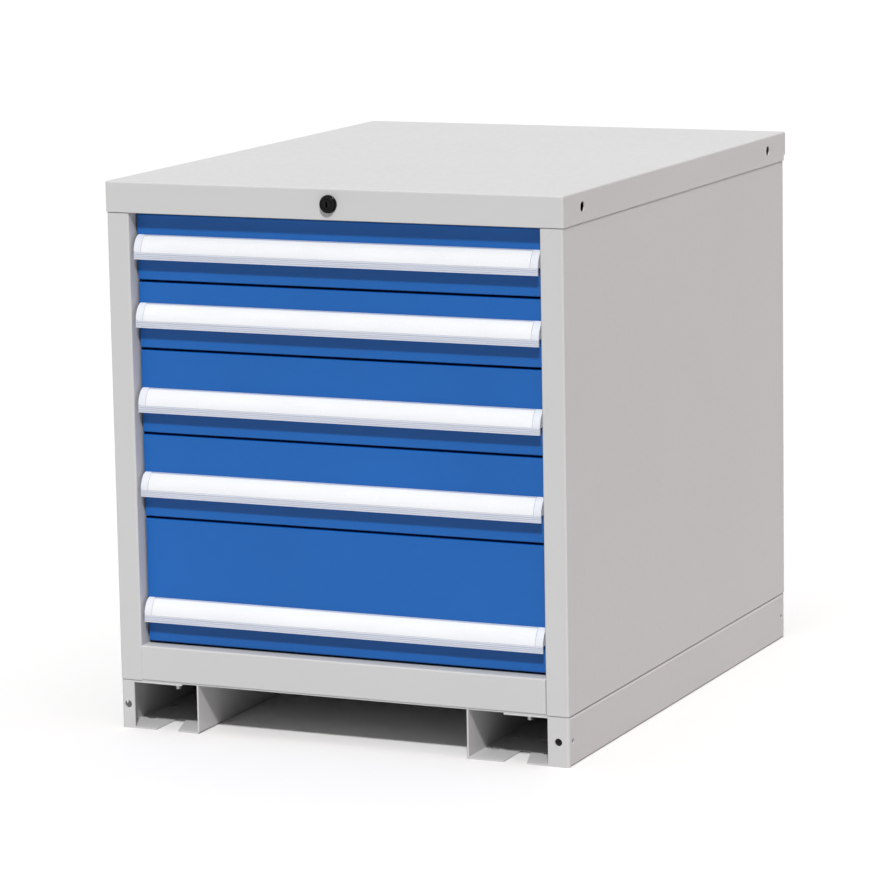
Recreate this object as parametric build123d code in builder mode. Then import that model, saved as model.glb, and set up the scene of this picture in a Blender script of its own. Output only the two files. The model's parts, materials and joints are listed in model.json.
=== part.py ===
from build123d import *
import math
import os

os.makedirs("parts", exist_ok=True)

# Housing, in millimetres: X to the right, front towards -Y, Z up from the floor
width = 572.0
depth = 725.0
base_height = 58.0
bottom_rail_height = 43.0
drawer_pitches = [80.0, 80.0, 100.0, 100.0, 150.0]  # from the top drawer down
front_gap = 3.0
cover_height = 36.0
stile_width = 28.0
reveal_depth = 25.0
sheet = 1.2
bend = 0.8  # inner radius of a fold in housing sheet
rear_return = 16.0
back_panel_edge = 1.0
housing_flange = 20.0
seam = 0.8  # shadow gap under the top cover

# Top cover and the frame that carries it
cover_proud = 1.0
cover_rear_overhang = 8.0
cover_edge_radius = 2.2
cover_hole_diameter = 12.0
cover_hole_front = 56.0
cover_hole_rear = 58.0
cover_corner_relief = 7.0
frame_setback = 1.5
frame_hole_margin = 2.5
cover_fit = 0.3

# Base channels
base_sheet = 2.0
base_bend = 1.5
left_channel_width = 102.0
right_channel_width = 126.0
left_front_flange = 17.0
right_front_flange = 26.0
base_top_flange = 80.0
plinth_hole_diameter = 9.0
base_side_hole_diameter = 6.5
base_side_hole_inset = 12.0
notch_from_left = 45.0
notch_mouth = 29.0
notch_floor = 12.0
notch_depth = 52.0
anchor_hole_diameter = 11.0
anchor_from_left = 14.0
anchor_spacing = 66.0
anchor_inset = 48.0
second_anchor_inset = 107.0
anchor_slot_from_left = 50.0
anchor_slot_length = 16.0
anchor_slot_width = 9.0

# Bolts that hold the housing on its base
bolt_diameter = 6.0
bolt_clearance = 0.5
bolt_from_outside = 60.0
bolt_inset = 30.0
bolt_tail = 13.0
bolt_head_across = 10.0
bolt_head_height = 4.0
nut_across = 10.0
nut_height = 5.0

# Drawer fronts
front_recess = 16.0
front_side_gap = 2.0
front_fold = 18.0
front_edge_radius = 1.6
front_lip = 14.0

# Handles
handle_height = 28.0
handle_above_edge = 25.0
handle_reach = 13.0
handle_end_gap = 2.0
handle_cap = 7.0
handle_wall = 1.8
crown_radius = 26.0
grip_lip = 8.5
groove_count = 3
groove_width = 0.9
groove_depth = 0.5
label_thickness = 0.8
label_margin = 1.0
label_air = 0.1
cap_corner = 1.5

# Drawer trays
tray_sheet = 1.0
tray_length = 640.0
tray_floor_rise = 5.0
tray_top_drop = 12.0
hem_thickness = 2.4
hem_height = 8.0
divider_slots = 11
divider_slot_width = 2.5
divider_slot_margin = 12.0

# Roller slides
rail_sheet = 1.5
rail_height = 28.0
rail_reach = 15.0
rail_above_edge = 30.0
rail_air = 1.0
roller_air = 0.3
middle_sheet = 2.0
middle_height = 25.0
middle_length = 560.0
middle_start = 45.0
cabinet_rail_start = 36.0
cabinet_rail_length = 660.0
stroke = 600.0
roller_width = 11.0
roller_hub_across = 10.0
roller_end_inset = 20.0
roller_pair_inset = 30.0
relief_length = 60.0
relief_height = 10.0

# Slotted uprights that the slides hook into
post_width = 20.3
post_depth = 40.0
front_post_start = 60.0
rear_post_start = 640.0
post_sheet = 1.5
hook_width = 4.0
hook_height = 12.0
hook_reach = 4.0
hook_air = 0.3

# Central lock and the bar that it lifts
lock_face_diameter = 18.0
lock_collar_diameter = 21.0
lock_out = 6.0
lock_collar_out = 2.5
lock_edge = 1.25
lock_barrel_diameter = 18.0
lock_barrel_length = 19.0
lock_plug_diameter = 12.0
lock_fit = 0.05
lock_nut_across = 24.0
lock_nut_height = 4.0
key_slot_width = 2.4
key_slot_height = 7.5
key_slot_depth = 4.0
cam_radius = 11.0
cam_thickness = 3.0
cam_air = 0.5
bar_lift = 10.0
crank_pin_diameter = 4.0
crank_air = 0.6
bar_sheet = 3.0
bar_width = 18.0
bar_air = 2.0
bar_from_side = 5.0
arm_height = 14.0
arm_end = 4.0
catch_bite = 4.5
catch_height = 4.0
catch_above_edge = 14.0
catch_air = 1.0
guide_wall = 1.2
guide_air = 0.3
guide_height = 10.0
guide_below_top = 24.0
guide_above_catch = 75.0

# Places worked out from the sizes
half = width / 2
front = -(depth + cover_rear_overhang - cover_proud - lock_out) / 2
back = front + depth
floor_top = base_height + sheet
opening_bottom = base_height + bottom_rail_height
opening_top = opening_bottom + sum(drawer_pitches) + front_gap
cabinet_top = opening_top + cover_height
side_top = opening_top - seam
half_opening = half - stile_width
inner_side = half - sheet
half_front = half_opening - front_side_gap
front_face = front + front_recess
tray_start = front_face + front_fold
post_face = inner_side - post_width
cabinet_rail_edge = post_face - rail_reach
middle_outer = cabinet_rail_edge - rail_air
middle_inner = middle_outer - middle_sheet
drawer_rail_edge = middle_inner - rail_air
half_tray = drawer_rail_edge - rail_reach
roller_radius = rail_height / 2 - rail_sheet - roller_air
lock_height = opening_top + cover_height / 2
crank_radius = bar_lift / math.sqrt(2)
bar_front = front + reveal_depth + bar_air
bar_inner = inner_side - bar_from_side - bar_width
left_channel_left = -half
right_channel_left = half - right_channel_width
front_heights = [pitch - front_gap for pitch in drawer_pitches]
front_bottoms = [
    opening_top - sum(drawer_pitches[: number + 1]) for number in range(len(drawer_pitches))
]


def upright_plane(y):
    """A plane that looks from the front: X to the right, Z up, extruded towards the back."""
    return Plane(origin=(0, y, 0), x_dir=(-1, 0, 0), z_dir=(0, 1, 0))


def facing(points):
    """Points given as X and Z, turned for a plane whose X runs the other way."""
    return [(-x, z) for x, z in points]


def folded(points, radius, thickness, side):
    """One strip of sheet folded along the points, which give its outer skin."""
    with BuildLine() as strip:
        FilletPolyline(*points, radius=radius + thickness)
        offset(amount=thickness, side=side)
    make_face(strip.edges())


def channel(points, thickness, side):
    """A narrow rolled channel of sheet, square at its corners, from its outer skin."""
    with BuildLine() as strip:
        Polyline(*points)
        offset(amount=thickness, side=side)
    make_face(strip.edges())


def block(x_range, y_range, z_range, mode=Mode.ADD):
    """A block between two values on each axis, in the open part."""
    low = (min(x_range), min(y_range), min(z_range))
    high = (max(x_range), max(y_range), max(z_range))
    centre = [(a + b) / 2 for a, b in zip(low, high)]
    with Locations(tuple(centre)):
        Box(*[b - a for a, b in zip(low, high)], mode=mode)


def save(builder, name):
    """Labels a finished piece and writes it."""
    builder.part.label = name
    export_step(builder.part, f"parts/{name}.step")


# Right side panel: wall, front stile, reveal and rear return folded from one sheet
with BuildPart() as right_side_panel:
    with BuildSketch(Plane.XY.offset(floor_top)):
        folded(
            [
                (half_opening, front + reveal_depth),
                (half_opening, front),
                (half, front),
                (half, back - sheet),
                (half - rear_return, back - sheet),
            ],
            bend,
            sheet,
            Side.LEFT,
        )
    extrude(amount=side_top - floor_top)
    flange_y = (bar_front + bar_sheet + guide_wall + 2 * guide_air, back - 2 * sheet)
    flange_x = (inner_side - housing_flange, inner_side + sheet / 2)
    block(flange_x, flange_y, (floor_top, floor_top + sheet))
    block(flange_x, flange_y, (side_top - sheet, side_top))
save(right_side_panel, "right_side_panel")

with BuildPart() as left_side_panel:
    mirror(right_side_panel.part, about=Plane.YZ)
save(left_side_panel, "left_side_panel")

# Back panel, lapped over the rear returns of the side panels
with BuildPart() as back_panel:
    block((-half, half), (back - sheet, back), (floor_top, side_top))
    fillet(back_panel.edges().filter_by(Axis.Z).group_by(Axis.Y)[-1], back_panel_edge)
save(back_panel, "back_panel")

# Bottom panel, a flat sheet on the base channels
bolt_y = [front + bolt_inset, back - bolt_inset]
bolt_x = [-half + bolt_from_outside, half - bolt_from_outside]
bolt_places = [(x, y) for x in bolt_x for y in bolt_y]
with BuildPart() as bottom_panel:
    block(
        (-inner_side, inner_side),
        (front + sheet, back - sheet),
        (base_height, floor_top),
    )
    with Locations(Plane.XY.offset(floor_top)):
        with Locations(*bolt_places):
            Hole(bolt_diameter / 2 + bolt_clearance)
save(bottom_panel, "bottom_panel")

# Front bottom rail between the stiles, folded back above and below
with BuildPart() as front_bottom_rail:
    with BuildSketch(Plane.YZ.offset(-half_opening)):
        folded(
            [
                (front + reveal_depth / 2, floor_top),
                (front, floor_top),
                (front, opening_bottom),
                (front + reveal_depth, opening_bottom),
            ],
            bend,
            sheet,
            Side.RIGHT,
        )
    extrude(amount=2 * half_opening)
save(front_bottom_rail, "front_bottom_rail")

# Top frame: a shallow pan on the side panels that carries the cover
cover_under = cabinet_top - sheet
frame_half = half + cover_proud - sheet - cover_fit
frame_x = (-frame_half, frame_half)
frame_y = (front + frame_setback, back - frame_setback)
hole_y = [front + cover_hole_front, back - cover_hole_rear]
with BuildPart() as top_frame:
    block(frame_x, frame_y, (side_top, side_top + sheet))
    for side in (-1, 1):
        wall = (side * (frame_half - sheet), side * frame_half)
        block(wall, (bar_front + 2 * bar_sheet, frame_y[1]), (side_top, cover_under))
    block(frame_x, (frame_y[1] - sheet, frame_y[1]), (side_top, cover_under))
    block(
        (bar_inner - catch_air, bar_inner + bar_width + catch_air),
        (bar_front - catch_air, bar_front + bar_sheet + catch_air),
        (side_top, side_top + sheet),
        mode=Mode.SUBTRACT,
    )
    with BuildSketch(Plane.YZ.offset(-half)):
        with Locations(*[(y, lock_height) for y in hole_y]):
            Circle(cover_hole_diameter / 2 + frame_hole_margin)
    extrude(amount=width, mode=Mode.SUBTRACT)
save(top_frame, "top_frame")

# Top cover: a pan turned over the housing, with lifting holes in its side skirts
cover_x = (-half - cover_proud, half + cover_proud)
cover_y = (front - cover_proud, back + cover_rear_overhang)
with BuildPart() as top_cover:
    block(cover_x, cover_y, (opening_top, cabinet_top))
    fillet(top_cover.edges().filter_by(Axis.Z), cover_edge_radius)
    fillet(top_cover.faces().sort_by(Axis.Z)[-1].edges(), cover_edge_radius)
    block(
        (cover_x[0] + sheet, cover_x[1] - sheet),
        (cover_y[0] + sheet, cover_y[1] - sheet),
        (opening_top, cover_under),
        mode=Mode.SUBTRACT,
    )
    with BuildSketch(Plane.YZ.offset(cover_x[0])):
        with Locations(*[(y, lock_height) for y in hole_y]):
            Circle(cover_hole_diameter / 2)
    extrude(amount=width + 2 * cover_proud, mode=Mode.SUBTRACT)
    for side in (-1, 1):
        block(
            (side * (half + cover_proud - 2 * sheet), side * (half + 2 * cover_proud)),
            (cover_y[1] - cover_corner_relief, cover_y[1]),
            (opening_top, opening_top + cover_corner_relief),
            mode=Mode.SUBTRACT,
        )
    with BuildSketch(upright_plane(cover_y[0])):
        with Locations((0, lock_height)):
            Circle(lock_barrel_diameter / 2 + lock_fit)
    extrude(amount=2 * sheet, mode=Mode.SUBTRACT)
save(top_cover, "top_cover")


def base_channel(left, channel_width, outer, front_flange):
    """A channel on the floor, front to back, with its notch, anchor holes and front flange."""
    right = left + channel_width
    outside = left if outer < 0 else right
    inside = right if outer < 0 else left
    turned = outside - outer * base_top_flange
    flange_edge = outside - outer * front_flange
    with BuildPart() as channel:
        with BuildSketch(upright_plane(front)):
            folded(
                facing(
                    [
                        (inside, base_height),
                        (inside, 0),
                        (outside, 0),
                        (outside, base_height),
                        (turned, base_height),
                    ]
                ),
                base_bend,
                base_sheet,
                Side.LEFT if outer < 0 else Side.RIGHT,
            )
        extrude(amount=depth)
        # At both ends the outer wall is folded in round the corner, as a flange
        corner = base_bend + base_sheet
        for end, y_face in ((1, front), (-1, back)):
            with BuildSketch():
                with Locations((outside, y_face)):
                    Rectangle(2 * corner, 2 * corner)
                with Locations((outside - outer * corner, y_face + end * corner)):
                    Circle(corner, mode=Mode.SUBTRACT)
            extrude(amount=base_height, mode=Mode.SUBTRACT)
            with BuildSketch():
                folded(
                    [
                        (flange_edge, y_face),
                        (outside, y_face),
                        (outside, y_face + end * (corner + base_sheet)),
                    ],
                    base_bend,
                    base_sheet,
                    Side.LEFT if outer * end > 0 else Side.RIGHT,
                )
            extrude(amount=base_height)
        for end, y_face in ((1, front), (-1, back)):
            with BuildSketch():
                with BuildLine():
                    Polyline(
                        (left + notch_from_left, y_face - end),
                        (left + notch_from_left, y_face + end * notch_depth),
                        (left + notch_from_left + notch_floor, y_face + end * notch_depth),
                        (left + notch_from_left + notch_mouth, y_face - end),
                        close=True,
                    )
                make_face()
                with Locations((left + anchor_slot_from_left, y_face + end * second_anchor_inset)):
                    SlotOverall(anchor_slot_length, anchor_slot_width)
                with Locations(
                    (left + anchor_from_left, y_face + end * anchor_inset),
                    (left + anchor_from_left + anchor_spacing, y_face + end * anchor_inset),
                    (left + anchor_from_left, y_face + end * second_anchor_inset),
                ):
                    Circle(anchor_hole_diameter / 2)
            extrude(amount=base_sheet, mode=Mode.SUBTRACT)
        with BuildSketch(Plane.XY.offset(base_height)):
            with Locations(*[(outside - outer * bolt_from_outside, y) for y in bolt_y]):
                Circle(bolt_diameter / 2 + bolt_clearance)
        extrude(amount=-base_sheet, mode=Mode.SUBTRACT)
        with BuildSketch(upright_plane(front)):
            with Locations(facing([((outside + flange_edge) / 2, base_height / 2)])[0]):
                Circle(plinth_hole_diameter / 2)
        extrude(amount=depth, mode=Mode.SUBTRACT)
        side_hole_y = [front + base_side_hole_inset, back - base_side_hole_inset]
        with BuildSketch(Plane.YZ.offset(outside)):
            with Locations(*[(y, base_height / 2) for y in side_hole_y]):
                Circle(base_side_hole_diameter / 2)
        extrude(amount=-outer * base_sheet, mode=Mode.SUBTRACT)
    return channel


left_base_channel = base_channel(left_channel_left, left_channel_width, -1, left_front_flange)
save(left_base_channel, "left_base_channel")
right_base_channel = base_channel(right_channel_left, right_channel_width, 1, right_front_flange)
save(right_base_channel, "right_base_channel")

# Bolts and nuts between the housing and its base
with BuildPart() as base_bolts:
    with BuildSketch(Plane.XY.offset(floor_top)):
        with Locations(*bolt_places):
            RegularPolygon(bolt_head_across / 2, 6, major_radius=False)
    extrude(amount=bolt_head_height)
    with BuildSketch(Plane.XY.offset(floor_top)):
        with Locations(*bolt_places):
            Circle(bolt_diameter / 2)
    extrude(amount=-(sheet + bolt_tail))
save(base_bolts, "base_bolts")

with BuildPart() as base_nuts:
    with BuildSketch(Plane.XY.offset(base_height - base_sheet)):
        with Locations(*bolt_places):
            RegularPolygon(nut_across / 2, 6, major_radius=False)
            Circle(bolt_diameter / 2, mode=Mode.SUBTRACT)
    extrude(amount=-nut_height)
save(base_nuts, "base_nuts")

# Uprights, a pair on each side, with a slot for each hook of the slides
post_starts = [front + front_post_start, front + rear_post_start]
rail_heights = [bottom + rail_above_edge for bottom in front_bottoms]
with BuildPart() as slotted_uprights:
    for y_start in post_starts:
        with BuildSketch(Plane.XY.offset(floor_top + sheet)):
            folded(
                [
                    (inner_side, y_start),
                    (post_face, y_start),
                    (post_face, y_start + post_depth),
                    (inner_side, y_start + post_depth),
                ],
                bend,
                post_sheet,
                Side.RIGHT,
            )
    extrude(amount=side_top - floor_top - 2 * sheet)
    with BuildSketch(Plane.YZ.offset(post_face)):
        with Locations(*[(y + post_depth / 2, z) for y in post_starts for z in rail_heights]):
            Rectangle(hook_width + 2 * hook_air, hook_height + 2 * hook_air)
    extrude(amount=post_sheet, mode=Mode.SUBTRACT)
    mirror(about=Plane.YZ)
save(slotted_uprights, "slotted_uprights")


def cabinet_rails(height):
    """The outer rails of one drawer: channels that open inwards, hooked into the uprights."""
    with BuildPart() as rails:
        with BuildSketch(upright_plane(front + cabinet_rail_start)):
            channel(
                facing(
                    [
                        (cabinet_rail_edge, height - rail_height / 2),
                        (post_face, height - rail_height / 2),
                        (post_face, height + rail_height / 2),
                        (cabinet_rail_edge, height + rail_height / 2),
                    ]
                ),
                rail_sheet,
                Side.RIGHT,
            )
        extrude(amount=cabinet_rail_length)
        for y_start in post_starts:
            middle = y_start + post_depth / 2
            block(
                (post_face - rail_sheet / 2, post_face + hook_reach),
                (middle - hook_width / 2, middle + hook_width / 2),
                (height - hook_height / 2, height + hook_height / 2),
            )
        mirror(about=Plane.YZ)
    return rails


def drawer_rails(height):
    """The inner rails of one drawer: channels on the tray's sides that open outwards."""
    with BuildPart() as rails:
        with BuildSketch(upright_plane(tray_start)):
            channel(
                facing(
                    [
                        (drawer_rail_edge, height - rail_height / 2),
                        (half_tray, height - rail_height / 2),
                        (half_tray, height + rail_height / 2),
                        (drawer_rail_edge, height + rail_height / 2),
                    ]
                ),
                rail_sheet,
                Side.LEFT,
            )
        extrude(amount=tray_length)
        mirror(about=Plane.YZ)
    return rails


def roller(x_face, outwards, y, height):
    """One roller on its hexagonal hub, seated on a face of the middle rail."""
    hub_length = rail_reach - rail_sheet - roller_width
    hub_plane = Plane(origin=(x_face, y, height), x_dir=(0, 1, 0), z_dir=(outwards, 0, 0))
    with BuildSketch(hub_plane) as hub:
        RegularPolygon(roller_hub_across / 2, 6, major_radius=False)
    extrude(hub.sketch, amount=hub_length)
    with BuildSketch(hub_plane.offset(hub_length)) as wheel:
        Circle(roller_radius)
    extrude(wheel.sketch, amount=roller_width)


def middle_rail(height):
    """The middle rails of one drawer, each a plate with rollers on both faces."""
    start = front + middle_start
    end = start + middle_length
    outer_rollers = [end - roller_end_inset, start + stroke / 2 + roller_pair_inset]
    inner_rollers = [start + roller_end_inset, end - stroke / 2 - roller_pair_inset]
    with BuildPart() as rails:
        block(
            (middle_inner, middle_outer),
            (start, end),
            (height - middle_height / 2, height + middle_height / 2),
        )
        with BuildSketch(Plane.YZ.offset(middle_inner)):
            with Locations(((start + end) / 2, height)):
                SlotOverall(relief_length, relief_height)
        extrude(amount=middle_sheet, mode=Mode.SUBTRACT)
        for y in outer_rollers:
            roller(middle_outer, 1, y, height)
        for y in inner_rollers:
            roller(middle_inner, -1, y, height)
        mirror(about=Plane.YZ)
    return rails


def tray(bottom, front_height):
    """One drawer's tray: a folded box with hemmed walls and slots for dividers."""
    low = bottom + tray_floor_rise
    high = bottom + front_height - tray_top_drop
    end = tray_start + tray_length
    slot_low = low + divider_slot_margin
    slot_high = high - hem_height - divider_slot_margin / 2
    slot_pitch = tray_length / (divider_slots + 1)
    with BuildPart() as box:
        block((-half_tray, half_tray), (tray_start, end), (low, high))
        fillet(box.edges().filter_by(Axis.Z), tray_sheet)
        block(
            (-half_tray + tray_sheet, half_tray - tray_sheet),
            (tray_start + tray_sheet, end - tray_sheet),
            (low + tray_sheet, high - hem_height),
            mode=Mode.SUBTRACT,
        )
        block(
            (-half_tray + hem_thickness, half_tray - hem_thickness),
            (tray_start + hem_thickness, end - hem_thickness),
            (high - hem_height, high),
            mode=Mode.SUBTRACT,
        )
        with BuildSketch(Plane.YZ.offset(-half_tray)):
            with Locations(((tray_start + end) / 2, (slot_low + slot_high) / 2)):
                with GridLocations(slot_pitch, 1, divider_slots, 1):
                    Rectangle(divider_slot_width, slot_high - slot_low)
        extrude(amount=2 * half_tray, mode=Mode.SUBTRACT)
    return box


def drawer_front(bottom, front_height):
    """One drawer's front: a folded pan with lips that the tray is screwed to."""
    top = bottom + front_height
    catch_low = bottom + catch_above_edge - catch_height / 2 - catch_air
    catch_high = bottom + catch_above_edge + catch_height / 2 + catch_air
    pocket = (bar_front - catch_air, bar_front + bar_sheet + catch_air)
    right_fold = (half_front - 2 * sheet, half_front + sheet)
    with BuildPart() as pan:
        block((-half_front, half_front), (front_face, tray_start), (bottom, top))
        fillet(pan.faces().sort_by(Axis.Y)[0].edges(), front_edge_radius)
        block(
            (-half_front + sheet, half_front - sheet),
            (front_face + sheet, tray_start - sheet),
            (bottom + sheet, top - sheet),
            mode=Mode.SUBTRACT,
        )
        block(
            (-half_front + sheet, half_front - sheet),
            (tray_start - sheet, tray_start),
            (bottom + front_lip, top - front_lip),
            mode=Mode.SUBTRACT,
        )
        # Bayonet slot in the right fold: the lock's catch passes, then rises into its pocket
        block(right_fold, (pocket[0], tray_start), (catch_low, catch_high), mode=Mode.SUBTRACT)
        block(right_fold, pocket, (catch_low, catch_high + bar_lift), mode=Mode.SUBTRACT)
    return pan


crown_chord = (handle_reach - handle_wall, handle_height - grip_lip)
half_chord = math.hypot(*crown_chord) / 2
to_centre = math.sqrt(crown_radius**2 - half_chord**2)
crown_y = -handle_wall - crown_chord[0] / 2 + to_centre * crown_chord[1] / (2 * half_chord)
crown_z = -crown_chord[1] / 2 - to_centre * crown_chord[0] / (2 * half_chord)
shoulder = grip_lip - handle_height
hollow_radius = crown_radius - label_thickness - handle_wall
bar_x = half_front - handle_end_gap - handle_cap


def on_crown(radius, height):
    """Where a curve that runs with the crown, at its own radius, passes a height."""
    return (crown_y - math.sqrt(radius**2 - (height - crown_z) ** 2), height)


def crown_arc(radius, start, end):
    """The stretch of such a curve between two heights."""
    middle = (start + end) / 2
    return ThreePointArc(
        on_crown(radius, start), on_crown(radius, middle), on_crown(radius, end)
    )


def handle_plane(x, bottom):
    """A plane across a handle, with Y and Z measured from the drawer face and the handle's top."""
    top = bottom + handle_above_edge + handle_height
    return Plane(origin=(x, front_face, top), x_dir=(0, 1, 0), z_dir=(1, 0, 0))


def handle(bottom):
    """One drawer's handle, an extrusion: back web, crowned top and a grooved grip lip."""
    seat_radius = crown_radius - label_thickness - label_air
    web_top = crown_z + math.sqrt(hollow_radius**2 - (crown_y + handle_wall) ** 2)
    lip_inside = on_crown(hollow_radius, shoulder)
    with BuildPart() as bar:
        with BuildSketch(handle_plane(-bar_x, bottom)):
            with BuildLine():
                Polyline(
                    (-handle_wall, web_top),
                    (-handle_wall, shoulder),
                    (0, shoulder),
                    (0, 0),
                    on_crown(seat_radius, 0),
                )
                crown_arc(seat_radius, 0, shoulder)
                Polyline(
                    on_crown(seat_radius, shoulder),
                    (-handle_reach, shoulder),
                    (-handle_reach, -handle_height),
                    (lip_inside[0], -handle_height),
                    lip_inside,
                )
                crown_arc(hollow_radius, shoulder, web_top)
            make_face()
            for number in range(groove_count):
                height = shoulder - grip_lip * (number + 1) / (groove_count + 1)
                with Locations((-handle_reach, height)):
                    Rectangle(2 * groove_depth, groove_width, mode=Mode.SUBTRACT)
        extrude(amount=2 * bar_x)
    return bar


def label_strip(bottom):
    """The white strip that lies on the handle's crown and carries the drawer's labels."""
    low = shoulder + label_air
    high = -label_margin
    seat_radius = crown_radius - label_thickness
    with BuildPart() as strip:
        with BuildSketch(handle_plane(-bar_x, bottom)):
            with BuildLine():
                Line(on_crown(seat_radius, high), on_crown(crown_radius, high))
                crown_arc(crown_radius, high, low)
                Line(on_crown(crown_radius, low), on_crown(seat_radius, low))
                crown_arc(seat_radius, low, high)
            make_face()
        extrude(amount=2 * bar_x)
    return strip


def end_caps(bottom):
    """The pair of caps that close the ends of one handle."""
    with BuildPart() as caps:
        with BuildSketch(handle_plane(bar_x, bottom)):
            with BuildLine():
                Polyline(
                    on_crown(crown_radius, shoulder),
                    (-handle_reach, -handle_height),
                    (0, -handle_height),
                    (0, 0),
                    on_crown(crown_radius, 0),
                )
                crown_arc(crown_radius, 0, shoulder)
            make_face()
        extrude(amount=handle_cap)
        outer_end = caps.faces().sort_by(Axis.X)[-1].edges()
        fillet(outer_end.sort_by(Axis.Y)[:2] + outer_end.sort_by(Axis.Z)[:1], cap_corner)
        mirror(about=Plane.YZ)
    return caps


# The five drawers, from the top down
for number, (bottom, front_height) in enumerate(zip(front_bottoms, front_heights), start=1):
    rail_level = bottom + rail_above_edge
    save(cabinet_rails(rail_level), f"cabinet_rails_{number}")
    save(middle_rail(rail_level), f"middle_rails_{number}")
    save(drawer_rails(rail_level), f"drawer_rails_{number}")
    save(tray(bottom, front_height), f"tray_{number}")
    save(drawer_front(bottom, front_height), f"drawer_front_{number}")
    save(handle(bottom), f"handle_{number}")
    save(label_strip(bottom), f"label_strip_{number}")
    save(end_caps(bottom), f"handle_end_caps_{number}")

# Lock housing through the cover's front skirt, with its collar and stepped face
cover_front = cover_y[0]
barrel_end = cover_front + lock_barrel_length
lock_axis = Axis((0, 0, lock_height), (0, 1, 0))
lock_plane = Plane(origin=(0, 0, lock_height), x_dir=(1, 0, 0), z_dir=(0, 0, 1))
bore = lock_plug_diameter / 2 + lock_fit
with BuildPart() as lock_housing:
    with BuildSketch(lock_plane):
        with BuildLine():
            Polyline(
                (bore, cover_front - lock_out),
                (lock_face_diameter / 2 - lock_edge, cover_front - lock_out),
                (lock_face_diameter / 2, cover_front - lock_out + lock_edge),
                (lock_face_diameter / 2, cover_front - lock_collar_out),
                (lock_collar_diameter / 2, cover_front - lock_collar_out),
                (lock_collar_diameter / 2, cover_front),
                (lock_barrel_diameter / 2, cover_front),
                (lock_barrel_diameter / 2, barrel_end),
                (bore, barrel_end),
                close=True,
            )
        make_face()
    revolve(axis=lock_axis)
save(lock_housing, "lock_housing")

with BuildPart() as lock_nut:
    with BuildSketch(upright_plane(cover_front + sheet)):
        with Locations((0, lock_height)):
            RegularPolygon(lock_nut_across / 2, 6, major_radius=False)
            Circle(lock_barrel_diameter / 2 + lock_fit, mode=Mode.SUBTRACT)
    extrude(amount=lock_nut_height)
save(lock_nut, "lock_nut")

# Lock plug with its key slot, and the crank on its inner end
plug_front = cover_front - lock_out + cam_air
with BuildPart() as lock_plug:
    with BuildSketch(upright_plane(plug_front)):
        with Locations((0, lock_height)):
            Circle(lock_plug_diameter / 2)
    extrude(amount=barrel_end + cam_air - plug_front)
    with BuildSketch(upright_plane(plug_front)):
        with Locations((0, lock_height)):
            Rectangle(key_slot_width, key_slot_height)
    extrude(amount=key_slot_depth, mode=Mode.SUBTRACT)
save(lock_plug, "lock_plug")

cam_front = barrel_end + cam_air
crank_offset = bar_lift / 2
with BuildPart() as lock_crank:
    with BuildSketch(upright_plane(cam_front)):
        with Locations((0, lock_height)):
            Circle(cam_radius)
    extrude(amount=cam_thickness)
    with BuildSketch(upright_plane(cam_front + cam_thickness)):
        with Locations((crank_offset, lock_height - crank_offset)):
            Circle(crank_pin_diameter / 2)
    extrude(amount=bar_front + bar_sheet + cam_air - cam_front - cam_thickness)
save(lock_crank, "lock_crank")

# Lock bar: an arm behind the cover and an upright beside the drawers
arm_level = lock_height - crank_offset
arm_left = -crank_radius - crank_pin_diameter / 2 - crank_air - arm_end
slot_left = -crank_radius - crank_pin_diameter / 2 - crank_air
slot_right = -crank_offset + crank_pin_diameter / 2 + crank_air
slot_height = crank_pin_diameter + 2 * crank_air
catch_levels = [bottom + catch_above_edge for bottom in front_bottoms]
catch_tip = half_front - sheet - catch_bite
bar_y = (bar_front, bar_front + bar_sheet)
with BuildPart() as lock_bar:
    block(
        (arm_left, bar_inner + bar_width),
        bar_y,
        (arm_level - arm_height / 2, arm_level + arm_height / 2),
    )
    block((bar_inner, bar_inner + bar_width), bar_y, (front_bottoms[-1], arm_level))
    block(
        (slot_left, slot_right),
        bar_y,
        (arm_level - slot_height / 2, arm_level + slot_height / 2),
        mode=Mode.SUBTRACT,
    )
save(lock_bar, "lock_bar")

# Catches welded to the bar's edge, one for each drawer
with BuildPart() as lock_catches:
    for level in catch_levels:
        block(
            (catch_tip, bar_inner),
            bar_y,
            (level - catch_height / 2, level + catch_height / 2),
        )
save(lock_catches, "lock_catches")

# Guides that hold the bar against the side panel
guide_levels = [side_top - guide_below_top, catch_levels[-1] + guide_above_catch]
clear_x = (bar_inner - guide_air, bar_inner + bar_width + guide_air)
clear_y = (bar_front - guide_air, bar_front + bar_sheet + guide_air)
with BuildPart() as lock_bar_guides:
    for level in guide_levels:
        guide_z = (level - guide_height / 2, level + guide_height / 2)
        block(
            (clear_x[0] - guide_wall, inner_side),
            (clear_y[0] - guide_wall, clear_y[1] + guide_wall),
            guide_z,
        )
        block(clear_x, clear_y, guide_z, mode=Mode.SUBTRACT)
save(lock_bar_guides, "lock_bar_guides")
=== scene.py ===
import json
import math

import bmesh
import bpy
from mathutils import Matrix, Vector


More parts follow.
